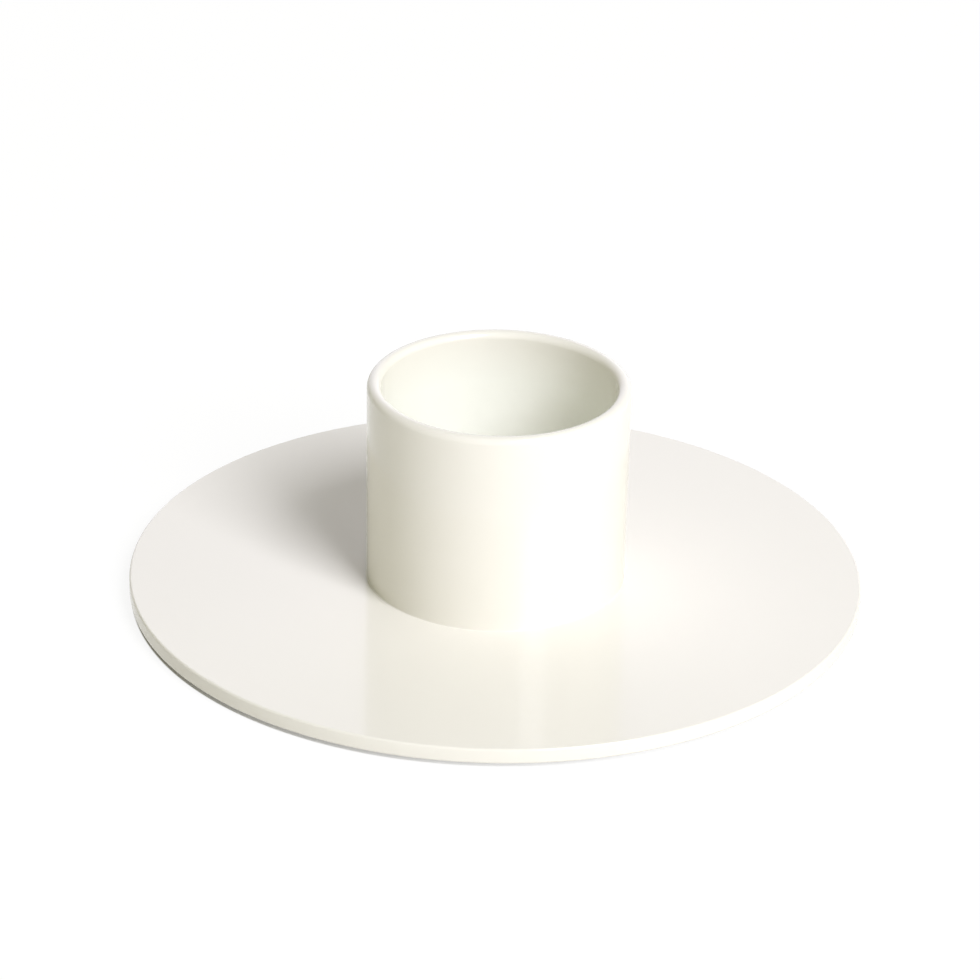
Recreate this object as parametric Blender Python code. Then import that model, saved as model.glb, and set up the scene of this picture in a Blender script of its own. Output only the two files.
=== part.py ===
# Candlestick for one dinner candle.
# A short turned steel cup stands in the middle of a thin round steel plate. A plug weld, made
# from below through a hole in the plate and ground flush, joins the two under the cup's floor.
# Both wear one powder coat, and the plate rests on three thin anti-slip pads.
# Lengths are in metres and +Z is up. The origin lies on the table under the plate's middle,
# on the axis of the cup.

import math

import bmesh
import bpy
from mathutils import Matrix

# Base plate, a disc cut from steel sheet, with its edges eased
PLATE_DIAMETER = 0.070
PLATE_THICKNESS = 0.0015
PLATE_EDGE_RADIUS = 0.0003

# Candle cup, which narrows a little towards its foot and has a fully rounded rim
CUP_RIM_DIAMETER = 0.025
CUP_FOOT_DIAMETER = 0.0247
CUP_HEIGHT = 0.020  # from the plate's face to the top of the rim
CUP_WALL = 0.00135
CUP_FLOOR = 0.0015
CUP_CORNER_RADIUS = 0.0005  # left by the turning tool where the wall meets the floor

# Plug weld in the hole in the plate, ground flush with its underside
WELD_HOLE_DIAMETER = 0.006

# Foot pads, punched from thin anti-slip film and stuck under the plate
PAD_COUNT = 3
PAD_DIAMETER = 0.008
PAD_THICKNESS = 0.0003
PAD_INSET = 0.004  # from the plate's rim to the nearest point of a pad
PAD_FIRST_ANGLE = math.radians(90)  # the first pad lies at the back
PAD_GLUE = 0.0002  # layer of adhesive between a pad and the plate

# Clearance that the solids keep where the weld joins metal to metal
SEAT_GAP = 0.0003

# Fineness of the round surfaces
PLATE_SIDES = 96
CUP_SIDES = 72
WELD_SIDES = 32
PAD_SIDES = 32
EDGE_STEPS = 4
RIM_STEPS = 12
CORNER_STEPS = 4
SHARP_ANGLE = math.radians(35)
SAME_POINT = 1e-7

# Finishes: linear colour, roughness, metallic
POWDER_COAT = ((0.87, 0.85, 0.80, 1.0), 0.32, 0.0)
ANTI_SLIP_FILM = ((0.62, 0.62, 0.60, 1.0), 0.75, 0.0)


def clear_scene():
    for old in list(bpy.data.objects):
        bpy.data.objects.remove(old, do_unlink=True)


def finish(name, look):
    """A material with one colour, roughness and metallic value."""
    colour, roughness, metallic = look
    material = bpy.data.materials.new(name)
    material.use_nodes = True
    shader = material.node_tree.nodes["Principled BSDF"]
    shader.inputs["Base Color"].default_value = colour
    shader.inputs["Roughness"].default_value = roughness
    shader.inputs["Metallic"].default_value = metallic
    material.diffuse_color = colour
    return material


def add_piece(name, shape, material, parent, place):
    """Makes a named object from a bmesh, shaded smooth, at a place in its parent's frame."""
    mesh = bpy.data.meshes.new(name)
    shape.to_mesh(mesh)
    shape.free()
    mesh.shade_smooth()
    mesh.set_sharp_from_angle(angle=SHARP_ANGLE)
    mesh.materials.append(material)
    piece = bpy.data.objects.new(name, mesh)
    bpy.context.scene.collection.objects.link(piece)
    piece.parent = parent
    piece.location = place
    return piece


def disc(diameter, thickness, sides):
    """A round disc that stands on its own z = 0."""
    shape = bmesh.new()
    bmesh.ops.create_cone(
        shape,
        cap_ends=True,
        cap_tris=True,
        segments=sides,
        radius1=diameter / 2,
        radius2=diameter / 2,
        depth=thickness,
        matrix=Matrix.Translation((0, 0, thickness / 2)),
    )
    return shape


def turned(outline, sides, closed):
    """Spins an outline of (radius, height) points about Z: a closed one, or one that starts
    and ends on the axis."""
    shape = bmesh.new()
    points = [shape.verts.new((radius, 0, height)) for radius, height in outline]
    lines = [shape.edges.new(pair) for pair in zip(points, points[1:])]
    if closed:
        lines.append(shape.edges.new((points[-1], points[0])))
    bmesh.ops.spin(
        shape,
        geom=points + lines,
        cent=(0, 0, 0),
        axis=(0, 0, 1),
        angle=math.tau,
        steps=sides,
        use_merge=True,
    )
    bmesh.ops.remove_doubles(shape, verts=shape.verts, dist=SAME_POINT)
    bmesh.ops.recalc_face_normals(shape, faces=shape.faces)
    return shape


def arc(centre, radius, start, turn, steps):
    """Points on an arc in the outline's plane, from the angle start through the angle turn."""
    angles = [start + turn * step / steps for step in range(steps + 1)]
    return [
        (centre[0] + radius * math.cos(angle), centre[1] + radius * math.sin(angle))
        for angle in angles
    ]


def plate_outline():
    """Half of the plate's section: the hole's wall, the underside, the rim and the face."""
    hole = WELD_HOLE_DIAMETER / 2
    easing = min(PLATE_EDGE_RADIUS, PLATE_THICKNESS / 2)
    edge_centre = PLATE_DIAMETER / 2 - easing
    lower_edge = arc((edge_centre, easing), easing, -math.pi / 2, math.pi / 2, EDGE_STEPS)
    upper_edge = arc((edge_centre, PLATE_THICKNESS - easing), easing, 0, math.pi / 2, EDGE_STEPS)
    return [(hole, 0.0), *lower_edge, *upper_edge, (hole, PLATE_THICKNESS)]


def cup_outline():
    """Half of the cup's section: under the foot, up the outside, over the rim, down the
    inside and in along the floor."""
    foot = CUP_FOOT_DIAMETER / 2
    rounding = CUP_WALL / 2
    rim_centre = (CUP_RIM_DIAMETER / 2 - rounding, CUP_HEIGHT - SEAT_GAP - rounding)
    corner_centre = (foot - CUP_WALL - CUP_CORNER_RADIUS, CUP_FLOOR + CUP_CORNER_RADIUS)
    rim = arc(rim_centre, rounding, 0, math.pi, RIM_STEPS)
    corner = arc(corner_centre, CUP_CORNER_RADIUS, 0, -math.pi / 2, CORNER_STEPS)
    return [(0.0, 0.0), (foot, 0.0), *rim, *corner, (0.0, CUP_FLOOR)]


def make_base_plate(parent):
    return add_piece(
        "base_plate",
        turned(plate_outline(), PLATE_SIDES, closed=True),
        finish("base_plate_powder_coat", POWDER_COAT),
        parent,
        (0, 0, PAD_THICKNESS + PAD_GLUE),
    )


def make_candle_cup(plate):
    return add_piece(
        "candle_cup",
        turned(cup_outline(), CUP_SIDES, closed=False),
        finish("candle_cup_powder_coat", POWDER_COAT),
        plate,
        (0, 0, PLATE_THICKNESS + SEAT_GAP),
    )


def make_plug_weld(plate):
    """Fills the plate's hole from its underside up to the cup's foot, but for the clearance."""
    return add_piece(
        "plug_weld",
        disc(WELD_HOLE_DIAMETER - 2 * SEAT_GAP, PLATE_THICKNESS, WELD_SIDES),
        finish("plug_weld_powder_coat", POWDER_COAT),
        plate,
        (0, 0, 0),
    )


def make_foot_pads(plate):
    """Pads evenly round the plate, each with its own origin in the middle of its underside."""
    film = finish("foot_pad_anti_slip_film", ANTI_SLIP_FILM)
    circle_radius = PLATE_DIAMETER / 2 - PAD_INSET - PAD_DIAMETER / 2
    for number in range(PAD_COUNT):
        angle = PAD_FIRST_ANGLE + math.tau * number / PAD_COUNT
        place = (
            circle_radius * math.cos(angle),
            circle_radius * math.sin(angle),
            -PAD_GLUE - PAD_THICKNESS,
        )
        shape = disc(PAD_DIAMETER, PAD_THICKNESS, PAD_SIDES)
        add_piece(f"foot_pad_{number + 1}", shape, film, plate, place)


def main():
    clear_scene()
    candlestick = bpy.data.objects.new("candlestick", None)
    bpy.context.scene.collection.objects.link(candlestick)
    plate = make_base_plate(candlestick)
    make_candle_cup(plate)
    make_plug_weld(plate)
    make_foot_pads(plate)


main()
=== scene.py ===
# %% [markdown]
# # A low candlestick in powder-coated steel
#
# The object is a round plate of steel sheet with a short cup in its middle, which holds one
# dinner candle. The cup is turned on a lathe and joined to the plate by a weld that nobody sees,
# and one warm white powder coat runs over both. So the whole job is round shapes, small
# roundings and one good finish.
#
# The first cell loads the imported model. Its solids have the true sizes and places, and every
# finer piece below takes its sizes from them.

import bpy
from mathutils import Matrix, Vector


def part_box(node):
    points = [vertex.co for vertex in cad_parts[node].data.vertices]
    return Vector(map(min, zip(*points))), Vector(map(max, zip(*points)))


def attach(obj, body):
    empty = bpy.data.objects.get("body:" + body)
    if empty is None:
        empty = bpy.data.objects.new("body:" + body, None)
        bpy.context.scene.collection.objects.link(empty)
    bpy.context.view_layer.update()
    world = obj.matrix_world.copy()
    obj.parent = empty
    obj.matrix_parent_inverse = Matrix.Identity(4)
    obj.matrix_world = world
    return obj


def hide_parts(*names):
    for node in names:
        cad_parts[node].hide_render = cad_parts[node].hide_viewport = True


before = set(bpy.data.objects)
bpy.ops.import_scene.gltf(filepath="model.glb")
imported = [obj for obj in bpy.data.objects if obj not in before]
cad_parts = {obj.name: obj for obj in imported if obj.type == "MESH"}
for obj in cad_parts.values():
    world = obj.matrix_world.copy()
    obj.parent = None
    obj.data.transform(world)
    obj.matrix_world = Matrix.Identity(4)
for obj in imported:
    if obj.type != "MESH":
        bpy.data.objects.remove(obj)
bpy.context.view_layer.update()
print("solids:", ", ".join(sorted(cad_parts)))

# %% Blender's own modules and the millimetre
import math

import bmesh
import bpy
from mathutils import Matrix, Vector, noise

MM = 0.001

# %% [markdown]
# ## Sizes
#
# A box tells how high and how wide a solid is, but not how wide the cup is at its foot, because
# the wall leans out a little towards the rim. One helper therefore looks at the solid's own
# points at one height. The other sizes are a maker's: a coat is about 0.1 mm thick, and where it
# runs round an inner corner it leaves a small fillet.

# %% Read the sizes from the solids
SAME_HEIGHT = 0.01 * MM


def radius_at(node, height, outermost=True):
    """The largest or smallest distance from the axis among a solid's points at one height."""
    points = [vertex.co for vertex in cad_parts[node].data.vertices]
    radii = [math.hypot(co.x, co.y) for co in points if abs(co.z - height) < SAME_HEIGHT]
    return max(radii) if outermost else min(radii)


plate_low, plate_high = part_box("base_plate")
cup_low, cup_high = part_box("candle_cup")

PLATE_RADIUS = plate_high.x
PLATE_UNDERSIDE = plate_low.z
PLATE_FACE = plate_high.z
HOLE_RADIUS = radius_at("base_plate", PLATE_UNDERSIDE, outermost=False)
CUP_RIM_RADIUS = cup_high.x
CUP_RIM_TOP = cup_high.z
CUP_FOOT_RADIUS = radius_at("candle_cup", cup_low.z)
CUP_WALL = 1.35 * MM
CUP_FLOOR = 1.5 * MM
CUP_FLOOR_TOP = cup_low.z + CUP_FLOOR
print(f"plate: {2 * PLATE_RADIUS / MM:.1f} mm across, {(PLATE_FACE - PLATE_UNDERSIDE) / MM:.2f} mm thick")
print(f"cup: {2 * CUP_FOOT_RADIUS / MM:.1f} to {2 * CUP_RIM_RADIUS / MM:.1f} mm across")

# %% [markdown]
# ## One small function for nodes
#
# Shapes and finishes below are both built from nodes. A single helper adds a node, sets its own
# properties and fills its sockets, either with a value or with a link from another node.

# %% A function that adds a node
def add_node(tree, kind, sockets=None, **settings):
    """Adds a node. Sockets are named or numbered, and take a value or another node's output."""
    node = tree.nodes.new(kind)
    for name, value in settings.items():
        setattr(node, name, value)
    for key, value in (sockets or {}).items():
        if isinstance(value, bpy.types.NodeSocket):
            tree.links.new(value, node.inputs[key])
        else:
            node.inputs[key].default_value = value
    return node


# %% [markdown]
# ## Colours and finishes
#
# A designer picks a colour as it looks on a screen, in sRGB, while a shader computes with linear
# light. One function turns the first into the second.

# %% From a screen colour to linear light
def linear(hex_colour):
    """Linear red, green, blue and alpha of an sRGB colour such as F0EDE7."""
    shares = [int(hex_colour[place:place + 2], 16) / 255 for place in (0, 2, 4)]
    return [(s / 12.92 if s <= 0.04045 else ((s + 0.055) / 1.055) ** 2.4) for s in shares] + [1.0]


def new_material(name):
    """An empty material's node tree and its output node."""
    material = bpy.data.materials.new(name)
    material.use_nodes = True
    material.node_tree.nodes.clear()
    return material, material.node_tree, add_node(material.node_tree, "ShaderNodeOutputMaterial")


# %% [markdown]
# ### Powder coat on steel
#
# Powder coat is a polyester paint that is sprayed on as dry dust and melted in an oven. It flows
# out almost flat, so it shines like glazed ware, and what is left of the dust is a faint orange
# peel: shallow waves 1 to 2 mm long. The film is also never quite even, so its tone and its shine
# drift a little over the width of a finger.
#
# Two places differ. Charged powder shuns the inside of a cup, so the coat there is less glossy, and
# deeper in the cup its colour is painted lighter and a trace greener: painted light, for the light
# that bounces round inside the cup. And under the plate a grinder has taken the weld down flush, so
# its parallel marks show through the coat.
# Both places are found from the point's own place on the object.

# %% Warm white powder coat
COAT_COLOUR = linear("F1EEE6")
COAT_DRIFT_COLOUR = linear("F0EDE5")
# painted light: the coat's colour deep inside the cup, lighter and greener, for the light bouncing in it
COAT_INSIDE_PAINTED_LIGHT = linear("F8F8F0")
COAT_ROUGHNESS = (0.11, 0.14)
COAT_INSIDE_ROUGHNESS = 0.22
COAT_IOR = 1.5
ORANGE_PEEL = 1.6 * MM
ORANGE_PEEL_DEPTH = 0.004 * MM
FILM_DRIFT = 18 * MM
USUAL_NOISE = (0.3, 0.7)  # most of a noise's values lie between these two
INSIDE_RADIUS = CUP_FOOT_RADIUS - CUP_WALL + 0.2 * MM
INSIDE_FROM = CUP_RIM_TOP - 0.6 * MM
INSIDE_UNTIL = CUP_RIM_TOP - 5 * MM
INSIDE_BOTTOM = CUP_FLOOR_TOP - 0.1 * MM
GRINDING_MARK = (5 * MM, 0.12 * MM, 0.12 * MM)
GRINDING_DEPTH = 0.012 * MM
GROUND_RADIUS = (5 * MM, 7 * MM)
GROUND_TOP = PLATE_UNDERSIDE + 0.2 * MM


def powder_coated_steel(name):
    material, tree, output = new_material(name)
    place = add_node(tree, "ShaderNodeTexCoord").outputs["Object"]
    axes = add_node(tree, "ShaderNodeSeparateXYZ", {"Vector": place})
    across = add_node(tree, "ShaderNodeCombineXYZ", {"X": axes.outputs["X"], "Y": axes.outputs["Y"]})
    radius = add_node(tree, "ShaderNodeVectorMath", {0: across.outputs[0]}, operation="LENGTH")

    drift = add_node(tree, "ShaderNodeTexNoise", {
        "Vector": place, "Scale": 1 / FILM_DRIFT, "Detail": 2.0})
    tone = add_node(tree, "ShaderNodeMix", {
        "Factor": drift.outputs["Fac"], "A": COAT_COLOUR, "B": COAT_DRIFT_COLOUR}, data_type="RGBA")
    shine = add_node(tree, "ShaderNodeMapRange", {
        "Value": drift.outputs["Fac"], "From Min": USUAL_NOISE[0], "From Max": USUAL_NOISE[1],
        "To Min": COAT_ROUGHNESS[0], "To Max": COAT_ROUGHNESS[1]})

    deep = add_node(tree, "ShaderNodeMapRange", {
        "Value": axes.outputs["Z"], "From Min": INSIDE_FROM, "From Max": INSIDE_UNTIL})
    above_floor = add_node(tree, "ShaderNodeMath", {
        0: axes.outputs["Z"], 1: INSIDE_BOTTOM}, operation="GREATER_THAN")
    within = add_node(tree, "ShaderNodeMath", {
        0: radius.outputs["Value"], 1: INSIDE_RADIUS}, operation="LESS_THAN")
    in_cup = add_node(tree, "ShaderNodeMath", {
        0: within.outputs[0], 1: above_floor.outputs[0]}, operation="MULTIPLY")
    inside = add_node(tree, "ShaderNodeMath", {
        0: in_cup.outputs[0], 1: deep.outputs["Result"]}, operation="MULTIPLY")
    # Painted light: deeper inside the cup the colour turns lighter and a trace greener; the roughness there
    # is duller too
    colour = add_node(tree, "ShaderNodeMix", {
        "Factor": inside.outputs[0], "A": tone.outputs["Result"], "B": COAT_INSIDE_PAINTED_LIGHT}, data_type="RGBA")
    roughness = add_node(tree, "ShaderNodeMix", {
        "Factor": inside.outputs[0], "A": shine.outputs["Result"], "B": COAT_INSIDE_ROUGHNESS})

    peel = add_node(tree, "ShaderNodeTexNoise", {
        "Vector": place, "Scale": 1 / ORANGE_PEEL, "Detail": 1.0})
    waves = add_node(tree, "ShaderNodeBump", {
        "Height": peel.outputs["Fac"], "Distance": ORANGE_PEEL_DEPTH})
    along = add_node(tree, "ShaderNodeMapping", {
        "Vector": place, "Scale": [1 / length for length in GRINDING_MARK]})
    marks = add_node(tree, "ShaderNodeTexNoise", {"Vector": along.outputs[0], "Scale": 1.0, "Detail": 3.0})
    near_weld = add_node(tree, "ShaderNodeMapRange", {
        "Value": radius.outputs["Value"], "From Min": GROUND_RADIUS[1], "From Max": GROUND_RADIUS[0]})
    below = add_node(tree, "ShaderNodeMath", {
        0: axes.outputs["Z"], 1: GROUND_TOP}, operation="LESS_THAN")
    ground = add_node(tree, "ShaderNodeMath", {
        0: near_weld.outputs["Result"], 1: below.outputs[0]}, operation="MULTIPLY")
    surface = add_node(tree, "ShaderNodeBump", {
        "Height": marks.outputs["Fac"], "Distance": GRINDING_DEPTH, "Strength": ground.outputs[0],
        "Normal": waves.outputs["Normal"]})

    coat = add_node(tree, "ShaderNodeBsdfPrincipled", {
        "Base Color": colour.outputs["Result"], "Roughness": roughness.outputs["Result"],
        "Normal": surface.outputs["Normal"], "IOR": COAT_IOR})
    tree.links.new(coat.outputs["BSDF"], output.inputs["Surface"])
    return material


powder_coat = powder_coated_steel("powder_coated_steel_warm_white")
coated_weld = powder_coated_steel("powder_coated_weld_ground_flush")
print("powder coat:", len(powder_coat.node_tree.nodes), "nodes")

# %% [markdown]
# ### Anti-slip film
#
# The feet are discs punched from soft polyurethane film. Rubbery film is matt because a fine grain
# is pressed into it, which here is a pattern of 0.35 mm, and its grey is a little cloudy. The
# layer of glue that holds it is clear and glossier, with a faint yellow cast, and only its edge
# shows, so the finish changes with height.

# %% Soft grey film with its glue
FILM_COLOUR = linear("CFCFCB")
FILM_CLOUD_COLOUR = linear("C4C4BF")
GLUE_COLOUR = linear("E3DEC8")
FILM_ROUGHNESS = 0.78
GLUE_ROUGHNESS = 0.3
FILM_IOR = 1.5
FILM_CLOUD = 3 * MM
FILM_GRAIN = 0.35 * MM
FILM_GRAIN_DEPTH = 0.02 * MM
GLUE_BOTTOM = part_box("foot_pad_1")[1].z + 0.005 * MM


def anti_slip_film():
    material, tree, output = new_material("polyurethane_anti_slip_film_embossed")
    place = add_node(tree, "ShaderNodeTexCoord").outputs["Object"]
    height = add_node(tree, "ShaderNodeSeparateXYZ", {"Vector": place}).outputs["Z"]
    glue = add_node(tree, "ShaderNodeMath", {
        0: height, 1: GLUE_BOTTOM}, operation="GREATER_THAN")
    cloud = add_node(tree, "ShaderNodeTexNoise", {
        "Vector": place, "Scale": 1 / FILM_CLOUD, "Detail": 3.0})
    film_tone = add_node(tree, "ShaderNodeMix", {
        "Factor": cloud.outputs["Fac"], "A": FILM_COLOUR, "B": FILM_CLOUD_COLOUR}, data_type="RGBA")
    colour = add_node(tree, "ShaderNodeMix", {
        "Factor": glue.outputs[0], "A": film_tone.outputs["Result"], "B": GLUE_COLOUR}, data_type="RGBA")
    roughness = add_node(tree, "ShaderNodeMix", {
        "Factor": glue.outputs[0], "A": FILM_ROUGHNESS, "B": GLUE_ROUGHNESS})
    grain = add_node(tree, "ShaderNodeTexVoronoi", {"Vector": place, "Scale": 1 / FILM_GRAIN})
    pressed = add_node(tree, "ShaderNodeBump", {
        "Height": grain.outputs["Distance"], "Distance": FILM_GRAIN_DEPTH})
    film = add_node(tree, "ShaderNodeBsdfPrincipled", {
        "Base Color": colour.outputs["Result"], "Roughness": roughness.outputs["Result"],
        "Normal": pressed.outputs["Normal"], "IOR": FILM_IOR})
    tree.links.new(film.outputs["BSDF"], output.inputs["Surface"])
    return material


pad_film = anti_slip_film()
print("anti-slip film:", len(pad_film.node_tree.nodes), "nodes")

# %% [markdown]
# ## Turning a section
#
# Plate, cup, weld and pads are all round about one upright axis. Each is therefore a half section,
# drawn as a few corners, and a Geometry Nodes tree that does what a lathe does: it rounds each
# corner by its own radius and sweeps the section round a circle. A curve's points carry a radius
# anyway, and here that radius holds the corner's rounding.

# %% The lathe tree
LATHE_PATH_RADIUS = 10 * MM
SAME_POINT = 0.0001 * MM


def lathe_tree():
    tree = bpy.data.node_groups.new("turn a section", "GeometryNodeTree")
    tree.is_modifier = True
    kinds = {
        "Section": "NodeSocketGeometry", "Sides": "NodeSocketInt", "Rounding steps": "NodeSocketInt",
        "Path radius": "NodeSocketFloat", "Merge distance": "NodeSocketFloat",
        "Finish": "NodeSocketMaterial",
    }
    for name, kind in kinds.items():
        tree.interface.new_socket(name, in_out="INPUT", socket_type=kind)
    tree.interface.new_socket("Turned piece", in_out="OUTPUT", socket_type="NodeSocketGeometry")
    given = tree.nodes.new("NodeGroupInput").outputs
    rounding = add_node(tree, "GeometryNodeInputRadius")
    rounded = add_node(tree, "GeometryNodeFilletCurve", {
        "Curve": given["Section"], "Count": given["Rounding steps"], "Radius": rounding.outputs[0],
        "Limit Radius": True}, mode="POLY")
    # A swept section has its X outwards and its Y downwards, so it is moved in and turned over
    inwards = add_node(tree, "ShaderNodeMath", {0: given["Path radius"], 1: -1.0}, operation="MULTIPLY")
    shift = add_node(tree, "ShaderNodeCombineXYZ", {"X": inwards.outputs[0]})
    placed = add_node(tree, "GeometryNodeTransform", {
        "Geometry": rounded.outputs[0], "Translation": shift.outputs[0], "Rotation": (math.pi, 0, 0)})
    path = add_node(tree, "GeometryNodeCurvePrimitiveCircle", {
        "Resolution": given["Sides"], "Radius": given["Path radius"]})
    swept = add_node(tree, "GeometryNodeCurveToMesh", {
        "Curve": path.outputs["Curve"], "Profile Curve": placed.outputs[0]})
    closed = add_node(tree, "GeometryNodeMergeByDistance", {
        "Geometry": swept.outputs[0], "Distance": given["Merge distance"]})
    smooth = add_node(tree, "GeometryNodeSetShadeSmooth", {"Geometry": closed.outputs[0]})
    real = add_node(tree, "GeometryNodeRealizeInstances", {"Geometry": smooth.outputs[0]})
    coated = add_node(tree, "GeometryNodeSetMaterial", {
        "Geometry": real.outputs[0], "Material": given["Finish"]})
    add_node(tree, "NodeGroupOutput", {"Turned piece": coated.outputs[0]})
    return tree


lathe = lathe_tree()
print("lathe tree:", len(lathe.nodes), "nodes")

# %% Close a mesh and make it a piece
def closed_piece(name, mesh):
    """Merges doubles, turns all faces outwards and says whether the surface is closed."""
    shape = bmesh.new()
    shape.from_mesh(mesh)
    bmesh.ops.remove_doubles(shape, verts=shape.verts, dist=SAME_POINT)
    bmesh.ops.recalc_face_normals(shape, faces=shape.faces)
    open_edges = sum(not edge.is_manifold for edge in shape.edges)
    volume = shape.calc_volume()
    shape.to_mesh(mesh)
    shape.free()
    mesh.name = name
    piece = bpy.data.objects.new(name, mesh)
    bpy.context.scene.collection.objects.link(piece)
    piece.modifiers.new("flat faces lead the shading", "WEIGHTED_NORMAL")
    mesh.calc_loop_triangles()
    print(f"{name}: {len(mesh.loop_triangles)} triangles, {open_edges} open edges,",
          f"{volume / MM ** 3:.1f} mm3")
    return piece


# %% Turn a section into a closed piece
def turned_piece(name, corners, finish, sides, rounding_steps, closed):
    """Corners are (radius, height, rounding). A closed section is a ring's, and an open one
    starts and ends on the axis."""
    section = bpy.data.curves.new(name, "CURVE")
    section.dimensions = "3D"
    line = section.splines.new("POLY")
    line.points.add(len(corners) - 1)
    for point, (radius, height, rounding) in zip(line.points, corners):
        point.co = (radius, height, 0, 1)
        point.radius = rounding
    line.use_cyclic_u = closed
    drawn = bpy.data.objects.new(name + "_section", section)
    bpy.context.scene.collection.objects.link(drawn)
    turning = drawn.modifiers.new("turn", "NODES")
    turning.node_group = lathe
    wanted = {"Sides": sides, "Rounding steps": rounding_steps, "Path radius": LATHE_PATH_RADIUS,
              "Merge distance": SAME_POINT, "Finish": finish}
    for item in lathe.interface.items_tree:
        if item.name in wanted:
            turning[item.identifier] = wanted[item.name]
    evaluated = drawn.evaluated_get(bpy.context.evaluated_depsgraph_get())
    mesh = bpy.data.meshes.new_from_object(evaluated)
    bpy.data.objects.remove(drawn)
    return closed_piece(name, mesh)

# %% [markdown]
# ## The base plate
#
# A laser cuts the plate from 1.5 mm steel sheet, and its edges are eased before coating, or the
# powder would run thin over them.

# %% Base plate
PLATE_SIDES = 512
ROUNDING_STEPS = 12
PLATE_EDGE = 0.22 * MM
HOLE_EDGE = 0.1 * MM

plate = turned_piece("steel_base_plate", [
    (HOLE_RADIUS, PLATE_UNDERSIDE, HOLE_EDGE),
    (PLATE_RADIUS, PLATE_UNDERSIDE, PLATE_EDGE),
    (PLATE_RADIUS, PLATE_FACE, PLATE_EDGE),
    (HOLE_RADIUS, PLATE_FACE, 0),
], powder_coat, PLATE_SIDES, ROUNDING_STEPS, closed=True)
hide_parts("base_plate")
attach(plate, "root")

# %% [markdown]
# ## The candle cup
#
# The cup is turned from solid steel bar, which leaves a floor for the candle to stand on. The
# maker leans the wall out by a hair so that a candle end drops in easily, rounds the rim fully
# so that the coat doesn't run thin there, and leaves the small corner of the tool at the floor.
#
# At the foot the molten powder draws into the seam between cup and plate and fills it with a
# little fillet. The rounding of a corner can't turn outwards here, because the section would have
# to run on over the plate, so the fillet is given point by point.

# %% Candle cup
CUP_SIDES = 384
COAT_FILLET = 0.1 * MM
TOE_SINK = 0.004 * MM  # the fillet's thin edge ends just below the plate's face
FLOOR_CORNER = 0.5 * MM
RIM_ROUNDING = 0.4999 * CUP_WALL  # two full halves would leave points that coincide

foot_level = PLATE_FACE - TOE_SINK
fillet_angles = [math.radians(90 * step / ROUNDING_STEPS) for step in range(ROUNDING_STEPS + 1)]
coat_fillet = [
    (CUP_FOOT_RADIUS + COAT_FILLET * (1 - math.sin(angle)),
     foot_level + COAT_FILLET * (1 - math.cos(angle)), 0)
    for angle in fillet_angles
]
cup = turned_piece("turned_candle_cup", [
    (0, foot_level, 0),
    *coat_fillet,
    (CUP_RIM_RADIUS, CUP_RIM_TOP, RIM_ROUNDING),
    (CUP_RIM_RADIUS - CUP_WALL, CUP_RIM_TOP, RIM_ROUNDING),
    (CUP_FOOT_RADIUS - CUP_WALL, CUP_FLOOR_TOP, FLOOR_CORNER),
    (0, CUP_FLOOR_TOP, 0),
], powder_coat, CUP_SIDES, ROUNDING_STEPS, closed=False)
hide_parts("candle_cup")
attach(cup, "root")

# %% [markdown]
# ## The plug weld
#
# Nothing on the outside shows how cup and plate are joined, so the joint is made from below: weld
# metal fills a hole in the plate and bites into the cup's foot. It is then ground flush, which
# never comes out perfect. A shallow ring is left where the weld meets the hole, and the face
# waves by a few hundredths of a millimetre. The lathe turns the plug, with extra rings in its
# face, and a noise of fixed pattern then lifts the face's points.

# %% Plug weld
WELD_SIDES = 96
WELD_RINGS = 10
WELD_CLEARANCE = 0.02 * MM
WELD_RADIUS = HOLE_RADIUS - WELD_CLEARANCE
WELD_TOP = foot_level - TOE_SINK  # just below the cup's foot
RING_WIDTH = 0.35 * MM
RING_DEPTH = 0.06 * MM
WELD_WAVE = 1.3 * MM
WELD_WAVE_HEIGHT = 0.03 * MM

face_radius = WELD_RADIUS - RING_WIDTH
weld_face = [(face_radius * ring / WELD_RINGS, PLATE_UNDERSIDE, 0) for ring in range(WELD_RINGS + 1)]
weld = turned_piece("ground_plug_weld", [
    *weld_face,
    (WELD_RADIUS - RING_WIDTH / 2, PLATE_UNDERSIDE + RING_DEPTH, 0),
    (WELD_RADIUS, PLATE_UNDERSIDE + RING_DEPTH / 2, 0),
    (WELD_RADIUS, WELD_TOP, 0),
    (0, WELD_TOP, 0),
], coated_weld, WELD_SIDES, ROUNDING_STEPS, closed=False)
for vertex in weld.data.vertices:
    if vertex.co.z < PLATE_UNDERSIDE + RING_DEPTH + SAME_HEIGHT:
        lift = noise.noise(vertex.co / WELD_WAVE) * 0.5 + 0.5
        vertex.co.z += lift * WELD_WAVE_HEIGHT
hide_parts("plug_weld")
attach(weld, "root")

# %% [markdown]
# ## The foot pads
#
# Three pads can't rock, on any table. Each is a disc punched from film, with its lower edge a
# little rounded by the punch and worn soft, and a layer of glue that ends just inside the film's
# edge. One pad is turned on the axis like everything else, and moved to its place in its own
# mesh, so that the film's grain lies differently on each of them.

# %% Foot pads
PAD_SIDES = 96
PAD_ROUNDING_STEPS = 6
PAD_LOWER_EDGE = 0.12 * MM
PAD_UPPER_EDGE = 0.04 * MM
GLUE_INSET = 0.15 * MM

for number in (1, 2, 3):
    node = f"foot_pad_{number}"
    pad_low, pad_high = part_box(node)
    pad_radius = (pad_high.x - pad_low.x) / 2
    pad = turned_piece(f"anti_slip_pad_{number}", [
        (0, pad_low.z, 0),
        (pad_radius, pad_low.z, PAD_LOWER_EDGE),
        (pad_radius, pad_high.z, PAD_UPPER_EDGE),
        (pad_radius - GLUE_INSET, pad_high.z, 0),
        (pad_radius - GLUE_INSET, PLATE_UNDERSIDE, 0),
        (0, PLATE_UNDERSIDE, 0),
    ], pad_film, PAD_SIDES, PAD_ROUNDING_STEPS, closed=False)
    pad_middle = ((pad_low.x + pad_high.x) / 2, (pad_low.y + pad_high.y) / 2, 0)
    pad.data.transform(Matrix.Translation(pad_middle))
    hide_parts(node)
    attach(pad, "root")

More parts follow.
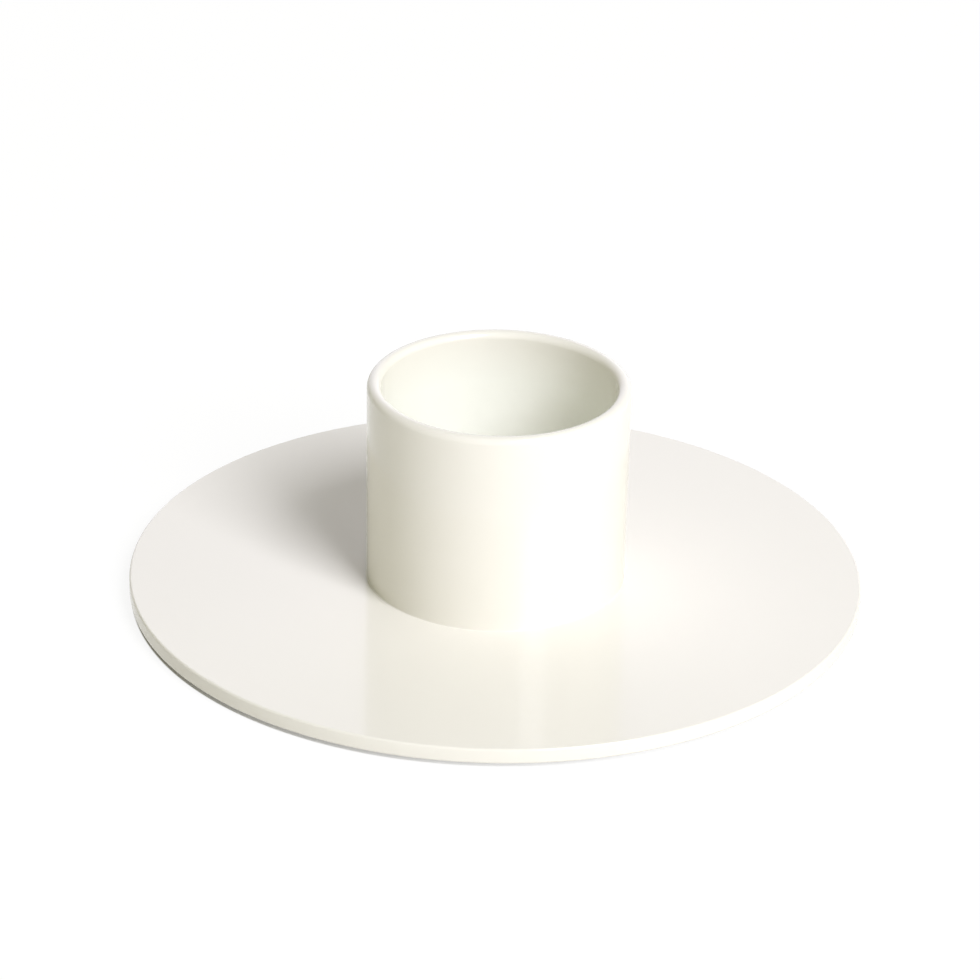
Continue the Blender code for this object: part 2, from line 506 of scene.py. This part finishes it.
# %% [markdown]
# ## The camera
#
# The picture was taken with a long lens from half a metre away, looking down by about 26 degrees.
# Its place follows from the ellipses: the flatter the plate's, the lower the camera, and the more
# the rim's and the foot's ellipses differ, the nearer it is.

# %% Camera
LENS = 188.43
SENSOR = 36.0
CAMERA_PLACE = Vector((-0.68, -437.31, 226.73)) * MM
CAMERA_PITCH = math.radians(26.292)
CAMERA_ROLL = math.radians(1.228)
CLIP_NEAR = 0.01
CLIP_FAR = 10.0

camera_data = bpy.data.cameras.new("camera")
camera_data.lens = LENS
camera_data.sensor_width = SENSOR
camera_data.clip_start = CLIP_NEAR
camera_data.clip_end = CLIP_FAR
camera = bpy.data.objects.new("camera", camera_data)
bpy.context.scene.collection.objects.link(camera)
camera.matrix_world = (
    Matrix.Translation(CAMERA_PLACE)
    @ Matrix.Rotation(math.pi / 2 - CAMERA_PITCH, 4, "X")
    @ Matrix.Rotation(CAMERA_ROLL, 4, "Z")
)
bpy.context.scene.camera = camera
print(f"camera: {CAMERA_PLACE.length:.3f} m from the object's origin")

# %% [markdown]
# ## The floor
#
# A studio's white ground is lit so strongly that the film sees pure white. Here the object's own
# lamps stay at a plain level, so the floor's paper gets a share of even white that only the
# camera and mirror-like rays see. The rest is ordinary matt paper, which takes the shadow of the
# plate and throws soft light back up at its edge.
#
# The pads lift the plate by half a millimetre, and that gap shows as a thin line below the rim.
# So under the rim the share of white is smaller: almost none on the left, in the plate's own
# shadow, where the paper's own shade shows, and nearly all of it on the right, where the painted
# white stands in for the softbox shining into the gap. The circle in which it is smaller lies a
# hair to the left of the plate's middle, as the shadow does.

# %% White paper, darker in the gap under the plate
PAPER_COLOUR = linear("E9E8E6")
PAPER_WHITE = 1.05
PAPER_WHITE_SHARE = 0.85
GAP_SHARE = 0.03
GAP_SIDE = (-0.85 * PLATE_RADIUS, 0.45 * PLATE_RADIUS)
GAP_MIDDLE = (-0.4 * MM, 0, 0)
GAP_EDGE = (PLATE_RADIUS - 0.62 * MM, PLATE_RADIUS - 0.5 * MM)


def white_paper():
    material, tree, output = new_material("white_studio_paper_matt")
    matt = add_node(tree, "ShaderNodeBsdfDiffuse", {"Color": PAPER_COLOUR})
    white = add_node(tree, "ShaderNodeEmission", {"Strength": PAPER_WHITE})
    place = add_node(tree, "ShaderNodeTexCoord").outputs["Object"]
    to_the_right = add_node(tree, "ShaderNodeSeparateXYZ", {"Vector": place}).outputs["X"]
    # Painted light and shade: under the rim the painted white runs from almost none on the left to nearly
    # all on the right
    in_gap = add_node(tree, "ShaderNodeMapRange", {
        "Value": to_the_right, "From Min": GAP_SIDE[0], "From Max": GAP_SIDE[1],
        "To Min": GAP_SHARE, "To Max": PAPER_WHITE_SHARE})
    from_middle = add_node(tree, "ShaderNodeVectorMath", {
        0: place, 1: GAP_MIDDLE}, operation="DISTANCE")
    white_share = add_node(tree, "ShaderNodeMapRange", {
        "Value": from_middle.outputs["Value"], "From Min": GAP_EDGE[0], "From Max": GAP_EDGE[1],
        "To Min": in_gap.outputs["Result"], "To Max": PAPER_WHITE_SHARE})
    rays = add_node(tree, "ShaderNodeLightPath").outputs
    seen_or_mirrored = add_node(tree, "ShaderNodeMath", {
        0: rays["Is Camera Ray"], 1: rays["Is Glossy Ray"]}, operation="MAXIMUM")
    seen = add_node(tree, "ShaderNodeMath", {
        0: seen_or_mirrored.outputs[0], 1: rays["Is Transmission Ray"]}, operation="MAXIMUM")
    seen_white = add_node(tree, "ShaderNodeMath", {
        0: seen.outputs[0], 1: white_share.outputs["Result"]}, operation="MULTIPLY")
    lit_paper = add_node(tree, "ShaderNodeMixShader", {
        0: seen_white.outputs[0], 1: matt.outputs[0], 2: white.outputs[0]})
    tree.links.new(lit_paper.outputs[0], output.inputs["Surface"])
    return material


# %% Floor
FLOOR_RADIUS = 3.0
FLOOR_SIDES = 96
FLOOR_DROP = 0.01 * MM

bpy.ops.mesh.primitive_circle_add(
    vertices=FLOOR_SIDES, radius=FLOOR_RADIUS, fill_type="NGON", location=(0, 0, -FLOOR_DROP))
floor = bpy.context.object
floor.name = "floor"
floor.data.materials.append(white_paper())
print(f"floor: {2 * FLOOR_RADIUS:.0f} m across")

# %% [markdown]
# ## The light
#
# White things are lit by few lamps, because their form only shows in shadow. One large softbox
# stands at the front right, high up, and its size sets how soft the shadow left of the cup is.
# An area lamp's power spreads over its area and over all directions in front of it, so the
# power for a wanted brightness is brightness times area times pi.
#
# The rest is the room. It is the world, painted by direction: a weak and warm glow from the
# walls, which fades towards a dark ceiling, so that the shadow on the plate stays deep while the
# upright side of the cup is lit. Then a cooler backdrop low behind the table, which the glossy
# plate mirrors towards the camera, and a white reflector on the right, which brings the cup's
# right edge forward. The camera sees plain white instead, and so do the mirror rays that meet
# the backdrop's middle.

# %% Softbox
KEY_DISTANCE = 1.8
KEY_TURN = math.radians(36)
KEY_LIFT = math.radians(43)
KEY_WIDTH = math.radians(22)
KEY_HEIGHT = math.radians(36)
KEY_BRIGHTNESS = 12.75
KEY_COLOUR = (1.0, 1.003, 1.085)

key_place = KEY_DISTANCE * Vector((
    math.sin(KEY_TURN) * math.cos(KEY_LIFT), -math.cos(KEY_TURN) * math.cos(KEY_LIFT), math.sin(KEY_LIFT)))
softbox_data = bpy.data.lights.new("softbox", "AREA")
softbox_data.shape = "RECTANGLE"
softbox_data.size = 2 * KEY_DISTANCE * math.tan(KEY_WIDTH / 2)
softbox_data.size_y = 2 * KEY_DISTANCE * math.tan(KEY_HEIGHT / 2)
softbox_data.energy = KEY_BRIGHTNESS * softbox_data.size * softbox_data.size_y * math.pi
softbox_data.color = KEY_COLOUR
softbox = bpy.data.objects.new("softbox", softbox_data)
bpy.context.scene.collection.objects.link(softbox)
softbox.location = key_place
softbox.rotation_euler = key_place.to_track_quat("Z", "Y").to_euler()
softbox.visible_camera = False
print(f"softbox: {softbox_data.size:.2f} x {softbox_data.size_y:.2f} m, {softbox_data.energy:.1f} W")

# %% Room
ROOM_LIGHT = (0.46, 0.16)  # at the walls' foot and straight up
ROOM_COLOUR = (1.0, 0.99, 0.68)
BACKDROP_LIGHT = 2.15
BACKDROP_COLOUR = (0.775, 0.75, 1.03)
BACKDROP_HEIGHT = math.radians(5)
BACKDROP_NARROWNESS = 8.0  # a higher power makes the lit patch narrower
MIRRORED_WHITE_NARROWNESS = 4.0
REFLECTOR_LIGHT = 0.8
REFLECTOR_FROM = 0.8  # how far to the right it starts, where 1 is straight to the right
SEEN_WHITE = 1.0

room = bpy.data.worlds.new("studio")
bpy.context.scene.world = room
room.use_nodes = True
tree = room.node_tree
tree.nodes.clear()
direction = add_node(tree, "ShaderNodeTexCoord").outputs["Generated"]
backdrop_middle = (0, math.cos(BACKDROP_HEIGHT), math.sin(BACKDROP_HEIGHT))
facing = add_node(tree, "ShaderNodeVectorMath", {
    0: direction, 1: backdrop_middle}, operation="DOT_PRODUCT")
behind = add_node(tree, "ShaderNodeMath", {0: facing.outputs["Value"], 1: 0.0}, operation="MAXIMUM")
patch = add_node(tree, "ShaderNodeMath", {
    0: behind.outputs[0], 1: BACKDROP_NARROWNESS}, operation="POWER")
backdrop = add_node(tree, "ShaderNodeMath", {0: patch.outputs[0], 1: BACKDROP_LIGHT}, operation="MULTIPLY")
backdrop_light = add_node(tree, "ShaderNodeBackground", {
    "Color": (*BACKDROP_COLOUR, 1), "Strength": backdrop.outputs[0]})
side = add_node(tree, "ShaderNodeSeparateXYZ", {"Vector": direction}).outputs
walls = add_node(tree, "ShaderNodeMapRange", {
    "Value": side["Z"], "To Min": ROOM_LIGHT[0], "To Max": ROOM_LIGHT[1]})
reflector = add_node(tree, "ShaderNodeMapRange", {
    "Value": side["X"], "From Min": REFLECTOR_FROM, "To Max": REFLECTOR_LIGHT},
    interpolation_type="SMOOTHSTEP")
room_glow = add_node(tree, "ShaderNodeMath", {
    0: walls.outputs["Result"], 1: reflector.outputs["Result"]}, operation="ADD")
room_light = add_node(tree, "ShaderNodeBackground", {
    "Color": (*ROOM_COLOUR, 1), "Strength": room_glow.outputs[0]})
lit_room = add_node(tree, "ShaderNodeAddShader", {0: room_light.outputs[0], 1: backdrop_light.outputs[0]})

# %% White for the camera
white = add_node(tree, "ShaderNodeBackground", {"Color": (1, 1, 1, 1), "Strength": SEEN_WHITE})
rays = add_node(tree, "ShaderNodeLightPath").outputs
just_behind = add_node(tree, "ShaderNodeMath", {
    0: patch.outputs[0], 1: MIRRORED_WHITE_NARROWNESS}, operation="POWER")
mirrored = add_node(tree, "ShaderNodeMath", {
    0: just_behind.outputs[0], 1: rays["Is Glossy Ray"]}, operation="MULTIPLY")
direct = add_node(tree, "ShaderNodeMath", {
    0: rays["Is Camera Ray"], 1: rays["Is Transmission Ray"]}, operation="MAXIMUM")
seen = add_node(tree, "ShaderNodeMath", {0: direct.outputs[0], 1: mirrored.outputs[0]}, operation="MAXIMUM")
shown = add_node(tree, "ShaderNodeMixShader", {
    0: seen.outputs[0], 1: lit_room.outputs[0], 2: white.outputs[0]})
add_node(tree, "ShaderNodeOutputWorld", {"Surface": shown.outputs[0]})
bpy.context.scene.view_settings.view_transform = "Standard"
print("room:", len(tree.nodes), "nodes")
